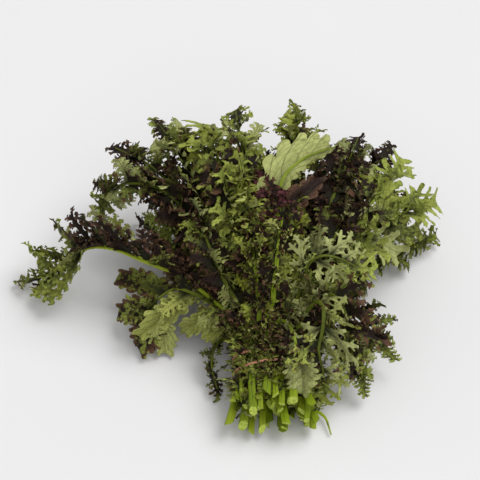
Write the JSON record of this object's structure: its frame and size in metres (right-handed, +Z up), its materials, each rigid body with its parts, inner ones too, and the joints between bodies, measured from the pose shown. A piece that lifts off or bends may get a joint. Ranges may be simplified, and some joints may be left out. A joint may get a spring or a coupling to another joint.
{
  "type": "bunch of mustard greens",
  "caption": "Bunch of frilly mustard greens: purple and green leaves fanned out from stalks that a doubled rubber band holds, lying on its side.",
  "frame": {"origin": "on the table under the band, at the middle of the band's small flat rest face", "axes": "+Y along the bunch from the cut stalk ends to the leaf tips, +X to the right seen from the stalk ends, +Z up from the table"},
  "size_m": [0.3597, 0.2937, 0.1226],
  "materials": {
    "leaf_green": "matte fresh leaf, green with a paler underside; fabric stands in for leaf",
    "leaf_purple": "matte fresh leaf, dark purple and olive; fabric stands in for leaf",
    "band_rubber": "matte, slightly crinkled"
  },
  "bodies": {
    "root": {"band": "band_rubber", "leaf_left_arching": "leaf_green", "leaf_left_broad": "leaf_green", "leaf_upper_left": "leaf_green", "leaf_upper_left_fingers": "leaf_purple", "leaf_right_spread": "leaf_green", "leaf_right_raised": "leaf_purple", "leaf_top_pale": "leaf_green", "leaf_top_curled": "leaf_purple", "leaf_top_purple": "leaf_purple", "leaf_top_yellow": "leaf_green", "leaf_front": "leaf_green", "leaf_front_left": "leaf_purple", "leaf_middle_pale": "leaf_green", "leaf_hanging_inner": "leaf_green", "leaf_hanging_outer": "leaf_purple", "leaf_right_low": "leaf_green", "leaf_right_lowest": "leaf_purple", "leaf_left_tuft": "leaf_purple", "leaf_folded_pale": "leaf_green", "leaf_top_fingers": "leaf_green", "leaf_top_fingers_right": "leaf_purple", "leaf_left_upright": "leaf_purple", "leaf_top_spiky": "leaf_green", "leaf_top_right": "leaf_purple", "leaf_top_right_outer": "leaf_purple", "leaf_top_left": "leaf_purple", "leaf_centre_right": "leaf_green", "leaf_left_inner": "leaf_purple", "leaf_tier_1_1": "leaf_green", "leaf_tier_1_2": "leaf_purple", "leaf_tier_1_3": "leaf_purple", "leaf_tier_1_4": "leaf_green", "leaf_tier_1_5": "leaf_purple", "leaf_tier_1_6": "leaf_purple", "leaf_tier_2_1": "leaf_purple", "leaf_tier_2_2": "leaf_green", "leaf_tier_2_3": "leaf_purple", "leaf_tier_2_4": "leaf_purple", "leaf_tier_2_5": "leaf_green", "leaf_tier_2_6": "leaf_purple", "leaf_tier_3_1": "leaf_purple", "leaf_tier_3_2": "leaf_purple", "leaf_tier_3_3": "leaf_green", "leaf_tier_3_4": "leaf_purple"}
  },
  "joints": []
}
